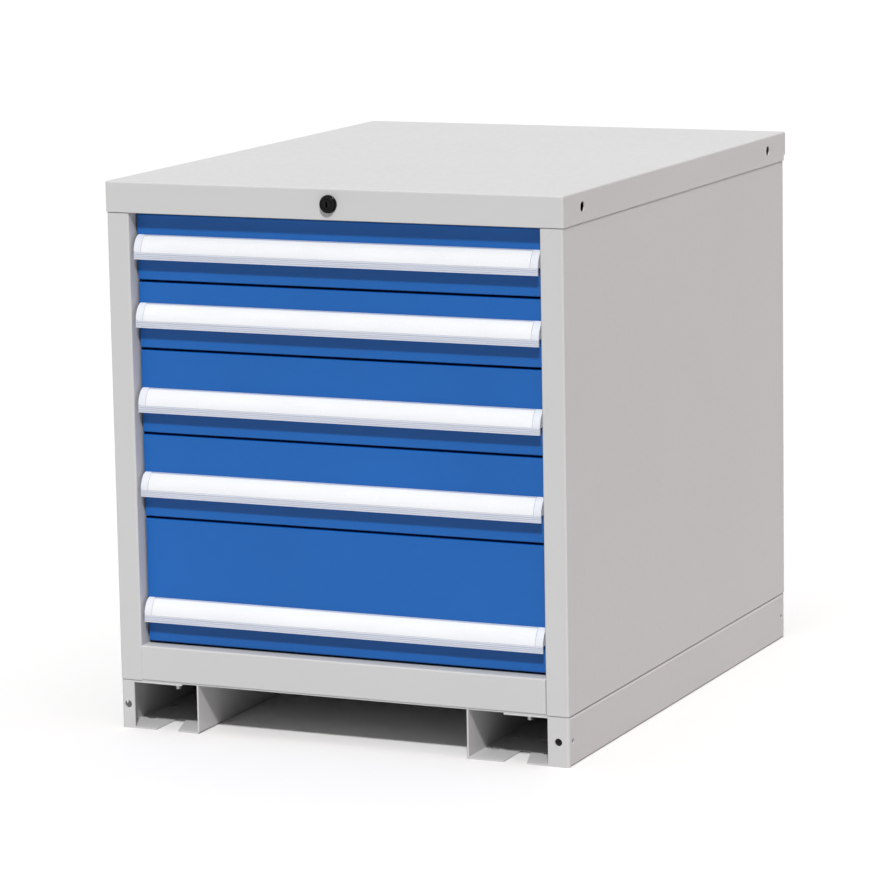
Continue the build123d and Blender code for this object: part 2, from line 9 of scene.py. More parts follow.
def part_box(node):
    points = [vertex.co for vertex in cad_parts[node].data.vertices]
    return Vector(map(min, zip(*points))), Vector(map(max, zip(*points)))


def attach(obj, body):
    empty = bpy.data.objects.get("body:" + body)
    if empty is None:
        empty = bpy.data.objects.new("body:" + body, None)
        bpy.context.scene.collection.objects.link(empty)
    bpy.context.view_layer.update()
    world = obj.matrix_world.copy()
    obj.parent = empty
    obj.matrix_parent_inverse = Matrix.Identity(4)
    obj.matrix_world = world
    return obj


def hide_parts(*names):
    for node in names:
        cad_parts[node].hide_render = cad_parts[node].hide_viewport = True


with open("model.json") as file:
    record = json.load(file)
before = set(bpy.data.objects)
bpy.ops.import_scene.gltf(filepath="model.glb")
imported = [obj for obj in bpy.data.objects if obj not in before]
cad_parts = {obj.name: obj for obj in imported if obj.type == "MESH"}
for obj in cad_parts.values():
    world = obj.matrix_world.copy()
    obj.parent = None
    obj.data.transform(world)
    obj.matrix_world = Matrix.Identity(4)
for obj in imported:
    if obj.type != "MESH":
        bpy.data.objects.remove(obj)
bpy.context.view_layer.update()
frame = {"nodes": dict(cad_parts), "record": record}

cadNodes = frame["nodes"]
drawerNumbers = range(1, 6)
scene = bpy.context.scene
scene.view_settings.view_transform = "Standard"
print("frame loaded:", len(cadNodes), "nodes")


# Materials
noiseRange = (0.3, 0.7)


def newMaterial(name):
    material = bpy.data.materials.new(name)
    material.use_nodes = True
    nodes = material.node_tree.nodes
    return material, nodes, material.node_tree.links, nodes["Principled BSDF"]


def objectNoise(nodes, links, scale, detail=2.0, stretch=(1, 1, 1)):
    # noise on the piece's own coordinates, in metres; scale is in waves per metre
    place = nodes.new("ShaderNodeTexCoord")
    mapping = nodes.new("ShaderNodeMapping")
    mapping.inputs["Scale"].default_value = stretch
    noise = nodes.new("ShaderNodeTexNoise")
    noise.inputs["Scale"].default_value = scale
    noise.inputs["Detail"].default_value = detail
    links.new(place.outputs["Object"], mapping.inputs["Vector"])
    links.new(mapping.outputs["Vector"], noise.inputs["Vector"])
    return noise.outputs["Fac"]


def spread(nodes, links, value, low, high):
    # noise mostly stays inside noiseRange, which is stretched to the range asked for
    remap = nodes.new("ShaderNodeMapRange")
    remap.inputs["From Min"].default_value, remap.inputs["From Max"].default_value = noiseRange
    remap.inputs["To Min"].default_value = low
    remap.inputs["To Max"].default_value = high
    links.new(value, remap.inputs["Value"])
    return remap.outputs["Result"]


def mixColours(nodes, links, factor, first, second):
    mix = nodes.new("ShaderNodeMix")
    mix.data_type = "RGBA"
    mix.inputs["A"].default_value = (*first, 1)
    mix.inputs["B"].default_value = (*second, 1)
    links.new(factor, mix.inputs["Factor"])
    return mix.outputs["Result"]


def addBump(nodes, links, height, shader, strength, distance):
    bump = nodes.new("ShaderNodeBump")
    bump.inputs["Strength"].default_value = strength
    bump.inputs["Distance"].default_value = distance
    links.new(height, bump.inputs["Height"])
    links.new(bump.outputs["Normal"], shader.inputs["Normal"])


def shade(colour, factor):
    return tuple(channel * factor for channel in colour)


def powderCoat(name, recipe):
    # sprayed and baked powder: fine orange peel, a cloud or two of tone, soft sheen
    material, nodes, links, shader = newMaterial(name)
    clouds = objectNoise(nodes, links, recipe["cloudScale"], detail=3.0)
    tone = mixColours(
        nodes,
        links,
        spread(nodes, links, clouds, 0, 1),
        shade(recipe["colour"], 1 - recipe["cloud"]),
        shade(recipe["colour"], 1 + recipe["cloud"]),
    )
    links.new(tone, shader.inputs["Base Color"])
    sheen = objectNoise(nodes, links, recipe["peelScale"] / peelsPerSheen)
    links.new(spread(nodes, links, sheen, *recipe["roughness"]), shader.inputs["Roughness"])
    peel = objectNoise(nodes, links, recipe["peelScale"], detail=1.0)
    addBump(nodes, links, peel, shader, recipe["peelStrength"], peelHeight)
    shader.inputs["Specular IOR Level"].default_value = recipe["gloss"]
    return material


peelsPerSheen = 6
peelHeight = 0.0002
housingPaint = {
    "colour": (0.522, 0.524, 0.526),
    "cloud": 0.012,
    "cloudScale": 4.0,
    "peelScale": 900.0,
    "peelStrength": 0.10,
    "roughness": (0.40, 0.50),
    "gloss": 0.36,
}
drawerPaint = {
    "colour": (0.009, 0.1065, 0.389),
    "cloud": 0.05,
    "cloudScale": 5.0,
    "peelScale": 900.0,
    "peelStrength": 0.12,
    "roughness": (0.34, 0.44),
    "gloss": 0.25,
}
trayPaint = {
    "colour": (0.47, 0.475, 0.48),
    "cloud": 0.02,
    "cloudScale": 6.0,
    "peelScale": 800.0,
    "peelStrength": 0.12,
    "roughness": (0.45, 0.55),
    "gloss": 0.4,
}


def paintTone(nodes, links, shader, factor, recipe):
    tone = mixColours(nodes, links, factor, recipe["dark"], recipe["light"])
    links.new(tone, shader.inputs["Base Color"])


# drawn along X, so its fine lines run along the handle
anodisedRecipe = {
    "dark": (0.56, 0.59, 0.67),
    "light": (0.64, 0.67, 0.75),
    "metal": 0.55,
    "lineScale": 900.0,
    "lineStretch": (0.01, 1, 1),
    "roughness": (0.38, 0.5),
    "bumpStrength": 0.08,
    "bumpHeight": 0.00005,
}


def anodisedAluminium(recipe):
    material, nodes, links, shader = newMaterial("handleAnodised")
    lines = objectNoise(nodes, links, recipe["lineScale"], stretch=recipe["lineStretch"])
    paintTone(nodes, links, shader, spread(nodes, links, lines, 0, 1), recipe)
    shader.inputs["Metallic"].default_value = recipe["metal"]
    links.new(spread(nodes, links, lines, *recipe["roughness"]), shader.inputs["Roughness"])
    addBump(nodes, links, lines, shader, recipe["bumpStrength"], recipe["bumpHeight"])
    return material


# white card under a clear film, with a trace of waviness
labelRecipe = {
    "dark": (0.71, 0.73, 0.76),
    "light": (0.745, 0.76, 0.785),
    "waveScale": 45.0,
    "waveStretch": (0.25, 1, 1),
    "grainScale": 300.0,
    "roughness": (0.18, 0.28),
    "bumpStrength": 0.05,
    "bumpHeight": 0.0004,
}


def labelFilm(recipe):
    material, nodes, links, shader = newMaterial("labelFilm")
    waves = objectNoise(nodes, links, recipe["waveScale"], stretch=recipe["waveStretch"])
    paintTone(nodes, links, shader, spread(nodes, links, waves, 0, 1), recipe)
    grain = objectNoise(nodes, links, recipe["grainScale"])
    links.new(spread(nodes, links, grain, *recipe["roughness"]), shader.inputs["Roughness"])
    addBump(nodes, links, waves, shader, recipe["bumpStrength"], recipe["bumpHeight"])
    return material


# moulded end cap: fine spark-eroded grain
capRecipe = {
    "dark": (0.63, 0.66, 0.72),
    "light": (0.68, 0.70, 0.75),
    "cloudScale": 60.0,
    "grainScale": 2600.0,
    "roughness": (0.42, 0.56),
    "bumpStrength": 0.10,
    "bumpHeight": 0.0001,
}


def capPlastic(recipe):
    material, nodes, links, shader = newMaterial("capPlastic")
    grain = objectNoise(nodes, links, recipe["grainScale"], detail=1.0)
    clouds = objectNoise(nodes, links, recipe["cloudScale"])
    paintTone(nodes, links, shader, spread(nodes, links, clouds, 0, 1), recipe)
    links.new(spread(nodes, links, grain, *recipe["roughness"]), shader.inputs["Roughness"])
    addBump(nodes, links, grain, shader, recipe["bumpStrength"], recipe["bumpHeight"])
    return material


# bright zinc: faint spangle and rolling streaks along the rails
zincRecipe = {
    "dark": (0.50, 0.51, 0.52),
    "light": (0.70, 0.705, 0.71),
    "metal": 0.9,
    "spangleScale": 160.0,
    "streakScale": 500.0,
    "streakStretch": (1, 0.02, 1),
    "roughness": (0.26, 0.42),
    "bumpStrength": 0.06,
    "bumpHeight": 0.0001,
}


def zincPlate(recipe):
    material, nodes, links, shader = newMaterial("zincPlate")
    place = nodes.new("ShaderNodeTexCoord")
    spangle = nodes.new("ShaderNodeTexVoronoi")
    spangle.inputs["Scale"].default_value = recipe["spangleScale"]
    links.new(place.outputs["Object"], spangle.inputs["Vector"])
    paintTone(nodes, links, shader, spangle.outputs["Distance"], recipe)
    shader.inputs["Metallic"].default_value = recipe["metal"]
    streaks = objectNoise(nodes, links, recipe["streakScale"], 3.0, recipe["streakStretch"])
    links.new(spread(nodes, links, streaks, *recipe["roughness"]), shader.inputs["Roughness"])
    addBump(nodes, links, streaks, shader, recipe["bumpStrength"], recipe["bumpHeight"])
    return material


# black plated die casting with a fine grain
lockRecipe = {
    "dark": (0.003, 0.003, 0.004),
    "light": (0.008, 0.008, 0.009),
    "grainScale": 1500.0,
    "gloss": 0.14,
    "roughness": (0.12, 0.2),
    "bumpStrength": 0.04,
    "bumpHeight": 0.0001,
}


def lockBlack(recipe):
    material, nodes, links, shader = newMaterial("lockBlack")
    grain = objectNoise(nodes, links, recipe["grainScale"])
    paintTone(nodes, links, shader, spread(nodes, links, grain, 0, 1), recipe)
    shader.inputs["Specular IOR Level"].default_value = recipe["gloss"]
    links.new(spread(nodes, links, grain, *recipe["roughness"]), shader.inputs["Roughness"])
    addBump(nodes, links, grain, shader, recipe["bumpStrength"], recipe["bumpHeight"])
    return material


finishes = {
    "housing_paint": powderCoat("housingPaint", housingPaint),
    "drawer_blue": powderCoat("drawerBlue", drawerPaint),
    "tray_paint": powderCoat("trayPaint", trayPaint),
    "handle_aluminium": anodisedAluminium(anodisedRecipe),
    "label_white": labelFilm(labelRecipe),
    "cap_plastic": capPlastic(capRecipe),
    "zinc_steel": zincPlate(zincRecipe),
    "lock_black": lockBlack(lockRecipe),
}
for part in frame["record"]["subparts"]:
    materials = cadNodes[part["node"]].data.materials
    materials.clear()
    materials.append(finishes[part["material_slot"]])
print("materials ready:", len(finishes))


# Shared ways of making a piece
mergeDistance = 1e-7


def finishPiece(piece, slotName, body, replaced=(), smoothAngle=35):
    mesh = piece.data
    mesh.materials.clear()
    mesh.materials.append(finishes[slotName])
    mesh.shade_smooth()
    mesh.set_sharp_from_angle(angle=math.radians(smoothAngle))
    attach(piece, body)
    if replaced:
        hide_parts(*replaced)


def linkedPiece(bm, name):
    mesh = bpy.data.meshes.new(name)
    bm.to_mesh(mesh)
    bm.free()
    piece = bpy.data.objects.new(name, mesh)
    scene.collection.objects.link(piece)
    return piece


def pieceFrom(bm, name):
    bmesh.ops.remove_doubles(bm, verts=bm.verts, dist=mergeDistance)
    bmesh.ops.recalc_face_normals(bm, faces=bm.faces)
    return linkedPiece(bm, name)


def weighNormals(piece):
    # flat faces keep flat shading next to their small rounded edges
    modifier = piece.modifiers.new("weighNormals", "WEIGHTED_NORMAL")
    modifier.keep_sharp = True


def bridgeRings(bm, rings):
    # quads between each closed ring of points and the one after it
    for first, second in zip(rings, rings[1:]):
        count = len(first)
        for number in range(count):
            following = (number + 1) % count
            bm.faces.new((first[number], first[following], second[following], second[number]))


def extrudeProfile(bm, profile, xStart, xEnd):
    # a closed outline of (y, z) points drawn along X
    rings = [[bm.verts.new((x, y, z)) for y, z in profile] for x in (xStart, xEnd)]
    bridgeRings(bm, rings)
    for ring in rings:
        bm.faces.new(ring)


def arcPoints(centre, radius, startDegrees, endDegrees, steps):
    points = []
    for step in range(steps + 1):
        angle = math.radians(startDegrees + (endDegrees - startDegrees) * step / steps)
        points.append((centre[0] + radius * math.cos(angle), centre[1] + radius * math.sin(angle)))
    return points


def turnedRings(bm, profile, centre, segments):
    # a circle about an axis along Y for each (radius, y) point
    rings = []
    for radius, y in profile:
        ring = []
        for number in range(segments):
            angle = 2 * math.pi * number / segments
            x = centre.x + radius * math.cos(angle)
            z = centre.z + radius * math.sin(angle)
            ring.append(bm.verts.new((x, y, z)))
        rings.append(ring)
    return rings


# Geometry Nodes: shared steps

def newTree(name, inputs):
    tree = bpy.data.node_groups.new(name, "GeometryNodeTree")
    tree.interface.new_socket("Geometry", in_out="OUTPUT", socket_type="NodeSocketGeometry")
    for label, kind in inputs.items():
        tree.interface.new_socket(label, in_out="INPUT", socket_type=kind)
    tree.interface.new_socket("Material", in_out="INPUT", socket_type="NodeSocketMaterial")
    return tree, tree.nodes.new("NodeGroupInput"), tree.nodes.new("NodeGroupOutput")


def mathNode(tree, operation, first, second):
    node = tree.nodes.new("ShaderNodeMath")
    node.operation = operation
    for socket, value in zip(node.inputs, (first, second)):
        if isinstance(value, bpy.types.NodeSocket):
            tree.links.new(value, socket)
        else:
            socket.default_value = value
    return node.outputs[0]


def endTree(tree, geometry, given, output):
    realize = tree.nodes.new("GeometryNodeRealizeInstances")
    paint = tree.nodes.new("GeometryNodeSetMaterial")
    tree.links.new(geometry, realize.inputs["Geometry"])
    tree.links.new(realize.outputs["Geometry"], paint.inputs["Geometry"])
    tree.links.new(given.outputs["Material"], paint.inputs["Material"])
    tree.links.new(paint.outputs["Geometry"], output.inputs["Geometry"])


def runTree(tree, name, values, slotName):
    # evaluates the tree with these inputs and keeps the result as a plain mesh
    holder = bpy.data.objects.new(name, bpy.data.meshes.new(name))
    scene.collection.objects.link(holder)
    modifier = holder.modifiers.new(tree.name, "NODES")
    modifier.node_group = tree
    sockets = [item for item in tree.interface.items_tree if item.in_out == "INPUT"]
    keys = {socket.name: socket.identifier for socket in sockets}
    for label, value in values.items():
        modifier[keys[label]] = value
    modifier[keys["Material"]] = finishes[slotName]
    bpy.context.view_layer.update()
    evaluated = holder.evaluated_get(bpy.context.evaluated_depsgraph_get())
    mesh = bpy.data.meshes.new_from_object(evaluated)
    holder.modifiers.clear()
    holder.data = mesh
    mesh.name = name
    return holder


def joined(pieces, name):
    # several plain meshes on one body become one piece
    bm = bmesh.new()
    for piece in pieces:
        bm.from_mesh(piece.data)
        bpy.data.objects.remove(piece)
    return linkedPiece(bm, name)


# shares are of the rivet's radius (widths) and height (depths)
rivetShape = {
    "sides": 20,
    "flangeTopWidth": 0.86,
    "flangeDepth": 0.5,
    "domeRings": 10,
    "domeWidth": 0.8,
    "mandrelSides": 12,
    "mandrelWidth": 0.26,
    "mandrelDepth": 2.1,
}


def makeRivetRow():
    # blind rivets along a line: a flange, a low dome on it and the mandrel's end in its middle
    inputs = {
        "Count": "NodeSocketInt",
        "Start": "NodeSocketVector",
        "Step": "NodeSocketVector",
        "Turn": "NodeSocketVector",
        "Radius": "NodeSocketFloat",
        "Height": "NodeSocketFloat",
    }
    tree, given, output = newTree("rivetRow", inputs)
    nodes, links = tree.nodes, tree.links
    radius, height, shape = given.outputs["Radius"], given.outputs["Height"], rivetShape

    def share(socket, name):
        return mathNode(tree, "MULTIPLY", socket, shape[name])

    row = nodes.new("GeometryNodeMeshLine")
    row.mode = "OFFSET"
    links.new(given.outputs["Count"], row.inputs["Count"])
    links.new(given.outputs["Start"], row.inputs["Start Location"])
    links.new(given.outputs["Step"], row.inputs["Offset"])
    flange = nodes.new("GeometryNodeMeshCone")
    flange.inputs["Vertices"].default_value = shape["sides"]
    links.new(radius, flange.inputs["Radius Bottom"])
    links.new(share(radius, "flangeTopWidth"), flange.inputs["Radius Top"])
    links.new(share(height, "flangeDepth"), flange.inputs["Depth"])
    dome = nodes.new("GeometryNodeMeshUVSphere")
    dome.inputs["Segments"].default_value = shape["sides"]
    dome.inputs["Rings"].default_value = shape["domeRings"]
    dome.inputs["Radius"].default_value = 1.0
    size = nodes.new("ShaderNodeCombineXYZ")
    domeRadius = share(radius, "domeWidth")
    links.new(domeRadius, size.inputs["X"])
    links.new(domeRadius, size.inputs["Y"])
    links.new(height, size.inputs["Z"])
    flatten = nodes.new("GeometryNodeTransform")
    links.new(dome.outputs["Mesh"], flatten.inputs["Geometry"])
    links.new(size.outputs["Vector"], flatten.inputs["Scale"])
    # the mandrel's end stands a hair above the dome
    mandrel = nodes.new("GeometryNodeMeshCylinder")
    mandrel.inputs["Vertices"].default_value = shape["mandrelSides"]
    links.new(share(radius, "mandrelWidth"), mandrel.inputs["Radius"])
    links.new(share(height, "mandrelDepth"), mandrel.inputs["Depth"])
    join = nodes.new("GeometryNodeJoinGeometry")
    for made in (flange, flatten, mandrel):
        links.new(made.outputs[0], join.inputs["Geometry"])
    place = nodes.new("GeometryNodeInstanceOnPoints")
    links.new(row.outputs["Mesh"], place.inputs["Points"])
    links.new(join.outputs["Geometry"], place.inputs["Instance"])
    links.new(given.outputs["Turn"], place.inputs["Rotation"])
    endTree(tree, place.outputs["Instances"], given, output)
    return tree


threadShape = {"stepsPerTurn": 20, "ridgeSides": 4}


def makeBoltThread():
    # a ridge that follows a helix down the bolt's tail
    inputs = {
        "Radius": "NodeSocketFloat",
        "Pitch": "NodeSocketFloat",
        "Length": "NodeSocketFloat",
        "Ridge": "NodeSocketFloat",
        "Top": "NodeSocketVector",
    }
    tree, given, output = newTree("boltThread", inputs)
    nodes, links = tree.nodes, tree.links
    length = given.outputs["Length"]
    turns = mathNode(tree, "DIVIDE", length, given.outputs["Pitch"])
    helix = nodes.new("GeometryNodeCurveSpiral")
    helix.inputs["Resolution"].default_value = threadShape["stepsPerTurn"]
    links.new(turns, helix.inputs["Rotations"])
    links.new(given.outputs["Radius"], helix.inputs["Start Radius"])
    links.new(given.outputs["Radius"], helix.inputs["End Radius"])
    links.new(mathNode(tree, "MULTIPLY", length, -1.0), helix.inputs["Height"])
    section = nodes.new("GeometryNodeCurvePrimitiveCircle")
    section.inputs["Resolution"].default_value = threadShape["ridgeSides"]
    links.new(given.outputs["Ridge"], section.inputs["Radius"])
    sweep = nodes.new("GeometryNodeCurveToMesh")
    sweep.inputs["Fill Caps"].default_value = True
    links.new(helix.outputs["Curve"], sweep.inputs["Curve"])
    links.new(section.outputs["Curve"], sweep.inputs["Profile Curve"])
    seat = nodes.new("GeometryNodeTransform")
    links.new(sweep.outputs["Mesh"], seat.inputs["Geometry"])
    links.new(given.outputs["Top"], seat.inputs["Translation"])
    endTree(tree, seat.outputs["Geometry"], given, output)
    return tree


stripShape = {"columns": 3, "rows": 33, "weld": 1e-6}


def makeCrownStrip():
    # a strip bent to the handle's crown: a grid laid on a circle, then given its thickness
    inputs = {
        "Width": "NodeSocketFloat",
        "Low": "NodeSocketFloat",
        "High": "NodeSocketFloat",
        "Radius": "NodeSocketFloat",
        "Thickness": "NodeSocketFloat",
        "Centre": "NodeSocketVector",
    }
    tree, given, output = newTree("crownStrip", inputs)
    nodes, links = tree.nodes, tree.links
    grid = nodes.new("GeometryNodeMeshGrid")
    grid.inputs["Vertices X"].default_value = stripShape["columns"]
    grid.inputs["Vertices Y"].default_value = stripShape["rows"]
    grid.inputs["Size Y"].default_value = 1.0
    links.new(given.outputs["Width"], grid.inputs["Size X"])
    where = nodes.new("GeometryNodeInputPosition")
    split = nodes.new("ShaderNodeSeparateXYZ")
    links.new(where.outputs["Position"], split.inputs["Vector"])
    share = mathNode(tree, "ADD", split.outputs["Y"], 0.5)
    rise = mathNode(tree, "SUBTRACT", given.outputs["High"], given.outputs["Low"])
    height = mathNode(tree, "ADD", mathNode(tree, "MULTIPLY", share, rise), given.outputs["Low"])
    centre = nodes.new("ShaderNodeSeparateXYZ")
    links.new(given.outputs["Centre"], centre.inputs["Vector"])
    fromCentre = mathNode(tree, "SUBTRACT", height, centre.outputs["Z"])
    radiusSquared = mathNode(tree, "POWER", given.outputs["Radius"], 2.0)
    heightSquared = mathNode(tree, "POWER", fromCentre, 2.0)
    reachSquared = mathNode(tree, "SUBTRACT", radiusSquared, heightSquared)
    reach = mathNode(tree, "SQRT", reachSquared, 0.0)
    y = mathNode(tree, "SUBTRACT", centre.outputs["Y"], reach)
    bent = nodes.new("ShaderNodeCombineXYZ")
    links.new(split.outputs["X"], bent.inputs["X"])
    links.new(y, bent.inputs["Y"])
    links.new(height, bent.inputs["Z"])
    lay = nodes.new("GeometryNodeSetPosition")
    links.new(grid.outputs["Mesh"], lay.inputs["Geometry"])
    links.new(bent.outputs["Vector"], lay.inputs["Position"])
    thicken = nodes.new("GeometryNodeExtrudeMesh")
    thicken.inputs["Individual"].default_value = False
    links.new(lay.outputs["Geometry"], thicken.inputs["Mesh"])
    inward = mathNode(tree, "MULTIPLY", given.outputs["Thickness"], -1.0)
    links.new(inward, thicken.inputs["Offset Scale"])
    join = nodes.new("GeometryNodeJoinGeometry")
    links.new(thicken.outputs["Mesh"], join.inputs["Geometry"])
    links.new(lay.outputs["Geometry"], join.inputs["Geometry"])
    weld = nodes.new("GeometryNodeMergeByDistance")
    weld.inputs["Distance"].default_value = stripShape["weld"]
    links.new(join.outputs["Geometry"], weld.inputs["Geometry"])
    endTree(tree, weld.outputs["Geometry"], given, output)
    return tree


rivetTree = makeRivetRow()
threadTree = makeBoltThread()
stripTree = makeCrownStrip()
print("geometry node trees ready")


# Handles: crowned extrusion with a grooved lip, label strip and end caps
handleSizes = {
    "reach": 0.013,
    "height": 0.028,
    "wall": 0.0018,
    "lip": 0.0085,
    "crownRadius": 0.026,
    "label": 0.0008,
    "labelAir": 0.0001,
    "labelMargin": 0.001,
    "grooves": 3,
    "grooveWidth": 0.0009,
    "grooveDepth": 0.0006,
    "lipRound": 0.0007,
    "capRound": 0.0013,
    "capReach": 0.0025,
    "capSeam": 0.0004,
    "capAir": 0.00005,
    "lipJoint": 0.00002,
    "touch": 1e-6,
    "grooveFloor": 0.55,  # of the groove's mouth
    "seatSteps": 14,
    "hollowSteps": 12,
    "capSteps": 10,
    "roundSteps": 4,
    "smallRoundSteps": 3,
}
shoulder = handleSizes["lip"] - handleSizes["height"]
hollowRadius = handleSizes["crownRadius"] - handleSizes["label"] - handleSizes["wall"]
chordY = handleSizes["reach"] - handleSizes["wall"]
chordZ = handleSizes["height"] - handleSizes["lip"]
halfChord = math.hypot(chordY, chordZ) / 2
toCentre = math.sqrt(handleSizes["crownRadius"] ** 2 - halfChord**2)
crownY = -handleSizes["wall"] - chordY / 2 + toCentre * chordZ / (2 * halfChord)
crownZ = -chordZ / 2 - toCentre * chordY / (2 * halfChord)


def crownCurve(radius, zStart, zEnd, steps):
    points = []
    for step in range(steps + 1):
        z = zStart + (zEnd - zStart) * step / steps
        points.append((crownY - math.sqrt(radius**2 - (z - crownZ) ** 2), z))
    return points


def lipOutline():
    # the grooved grip lip, which runs on to the ends below the caps
    sizes = handleSizes
    front, foot = -sizes["reach"], -sizes["height"]
    rounding, small = sizes["lipRound"], sizes["lipRound"] / 2
    steps, fewSteps = sizes["roundSteps"], sizes["smallRoundSteps"]
    insideY = crownY - math.sqrt(hollowRadius**2 - (shoulder - crownZ) ** 2)
    outline = arcPoints((front + small, shoulder - small), small, 90, 180, fewSteps)
    for number in range(sizes["grooves"]):
        middle = shoulder - sizes["lip"] * (number + 1) / (sizes["grooves"] + 1)
        half = sizes["grooveWidth"] / 2
        halfFloor = half * sizes["grooveFloor"]
        outline += [
            (front, middle + half),
            (front + sizes["grooveDepth"], middle + halfFloor),
            (front + sizes["grooveDepth"], middle - halfFloor),
            (front, middle - half),
        ]
    outline += arcPoints((front + rounding, foot + rounding), rounding, 180, 270, steps)
    outline += arcPoints((insideY - small, foot + small), small, 270, 360, fewSteps)
    return outline + [(insideY, shoulder)]


def handleOutline():
    # (y, z) from the drawer's face and the handle's top
    sizes = handleSizes
    wall = sizes["wall"]
    seatRadius = sizes["crownRadius"] - sizes["label"] - sizes["labelAir"]
    webTop = crownZ + math.sqrt(hollowRadius**2 - (crownY + wall) ** 2)
    outline = [(-wall, shoulder), (0, shoulder), (0, 0)]
    outline += crownCurve(seatRadius, 0, shoulder, sizes["seatSteps"]) + lipOutline()
    return outline + crownCurve(hollowRadius, shoulder, webTop, sizes["hollowSteps"])[1:]


def capOutline():
    # the cap closes the crown only and stands on the lip
    sizes = handleSizes
    bottom = shoulder + sizes["capAir"]
    crown = crownCurve(sizes["crownRadius"], 0, bottom, sizes["capSteps"])
    return crown + [(0, bottom), (0, 0)]


def placed(outline, faceY, topZ):
    return [(faceY + y, topZ + z) for y, z in outline]


def makeHandle(number):
    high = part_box(f"handle_{number}")[1]
    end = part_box(f"handle_end_caps_{number}")[1].x
    crownEnd = high.x - handleSizes["capReach"]
    bm = bmesh.new()
    extrudeProfile(bm, placed(handleOutline(), high.y, high.z), -crownEnd, crownEnd)
    for side in (-1, 1):
        lip = placed(lipOutline(), high.y, high.z)
        extrudeProfile(bm, lip, side * (crownEnd + handleSizes["lipJoint"]), side * end)
    piece = pieceFrom(bm, f"gripHandle_{number}")
    finishPiece(piece, "handle_aluminium", f"drawer_{number}", (f"handle_{number}",), smoothAngle=30)
    weighNormals(piece)


def makeLabel(number):
    low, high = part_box(f"handle_{number}")
    sizes = handleSizes
    values = {
        "Width": high.x - low.x - 2 * sizes["capReach"],
        "Low": high.z + shoulder + sizes["labelAir"],
        "High": high.z - sizes["labelMargin"],
        "Radius": sizes["crownRadius"],
        "Thickness": sizes["label"],
        "Centre": (0.0, high.y + crownY, high.z + crownZ),
    }
    strip = runTree(stripTree, f"labelFilm_{number}", values, "label_white")
    bm = bmesh.new()
    bm.from_mesh(strip.data)
    bmesh.ops.recalc_face_normals(bm, faces=bm.faces)
    bm.to_mesh(strip.data)
    bm.free()
    finishPiece(strip, "label_white", f"drawer_{number}", (f"label_strip_{number}",))


def makeCaps(number):
    sizes = handleSizes
    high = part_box(f"handle_end_caps_{number}")[1]
    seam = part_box(f"handle_{number}")[1].x - sizes["capReach"] + sizes["capSeam"]
    bottom = high.z + shoulder + sizes["capAir"]
    touch = sizes["touch"]
    bm = bmesh.new()
    for side in (-1, 1):
        extrudeProfile(bm, placed(capOutline(), high.y, high.z), side * seam, side * high.x)
    # the rim of the outer end is rounded, but not where the cap meets the drawer or the lip
    edges = [
        edge
        for edge in bm.edges
        if all(abs(vert.co.x) > high.x - touch for vert in edge.verts)
        and any(vert.co.y < high.y - touch for vert in edge.verts)
        and any(vert.co.z > bottom + touch for vert in edge.verts)
    ]
    bmesh.ops.bevel(
        bm,
        geom=edges,
        offset=sizes["capRound"],
        segments=sizes["roundSteps"],
        profile=0.5,
        affect="EDGES",
        clamp_overlap=True,
    )
    piece = pieceFrom(bm, f"gripEndCaps_{number}")
    finishPiece(piece, "cap_plastic", f"drawer_{number}", (f"handle_end_caps_{number}",), smoothAngle=40)
    weighNormals(piece)


for number in drawerNumbers:
    makeHandle(number)
    makeLabel(number)
    makeCaps(number)
print("handles ready")


# Lock: turned housing with a stepped face, and the plug with its key slot
lockSizes = {
    "collarRadius": 0.0105,
    "collarOut": 0.0025,
    "faceRadius": 0.0090,
    "faceOut": 0.0060,
    "edge": 0.0008,
    "ringRadius": 0.0074,
    "ringWidth": 0.0007,
    "ringDepth": 0.0006,
    "bore": 0.00605,
    "plugRadius": 0.0060,
    "slotWidth": 0.0024,
    "slotHeight": 0.0075,
    "slotDepth": 0.0040,
    "wardWidth": 0.35,  # of half the slot's width
    "wardHeight": 0.45,  # of half the slot's height
    "boreChamfer": 0.0003,
    "ringDraft": 0.0001,
    "plugChamfer": 0.0004,
    "edgeSteps": 5,
    "collarSteps": 4,
    "housingSegments": 72,
    "plugSegments": 48,
}
lockLow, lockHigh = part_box("lock_housing")
lockCentre = (lockLow + lockHigh) / 2
coverFront = lockLow.y + lockSizes["faceOut"]


def makeLockHousing():
    sizes = lockSizes
    face = coverFront - sizes["faceOut"]
    collarFace = coverFront - sizes["collarOut"]
    edge = sizes["edge"]
    ringOut = sizes["ringRadius"] + sizes["ringWidth"] / 2
    ringIn = sizes["ringRadius"] - sizes["ringWidth"] / 2
    corner = arcPoints((sizes["faceRadius"] - edge, face + edge), edge, -90, 0, sizes["edgeSteps"])
    collarCorner = arcPoints(
        (sizes["collarRadius"] - edge, collarFace + edge), edge, -90, 0, sizes["collarSteps"]
    )
    profile = [
        (sizes["bore"], lockHigh.y),
        (sizes["bore"], face + sizes["boreChamfer"]),
        (sizes["bore"] + sizes["boreChamfer"], face),
        (ringIn, face),
        (ringIn + sizes["ringDraft"], face + sizes["ringDepth"]),
        (ringOut - sizes["ringDraft"], face + sizes["ringDepth"]),
        (ringOut, face),
        *corner,
        (sizes["faceRadius"], collarFace),
        *collarCorner,
        (sizes["collarRadius"], coverFront),
        (sizes["faceRadius"], coverFront),
        (sizes["faceRadius"], lockHigh.y),
    ]
    bm = bmesh.new()
    rings = turnedRings(bm, profile, lockCentre, sizes["housingSegments"])
    bridgeRings(bm, rings + rings[:1])
    piece = pieceFrom(bm, "lockHousing")
    finishPiece(piece, "lock_black", "cabinet", ("lock_housing",), smoothAngle=30)
    weighNormals(piece)


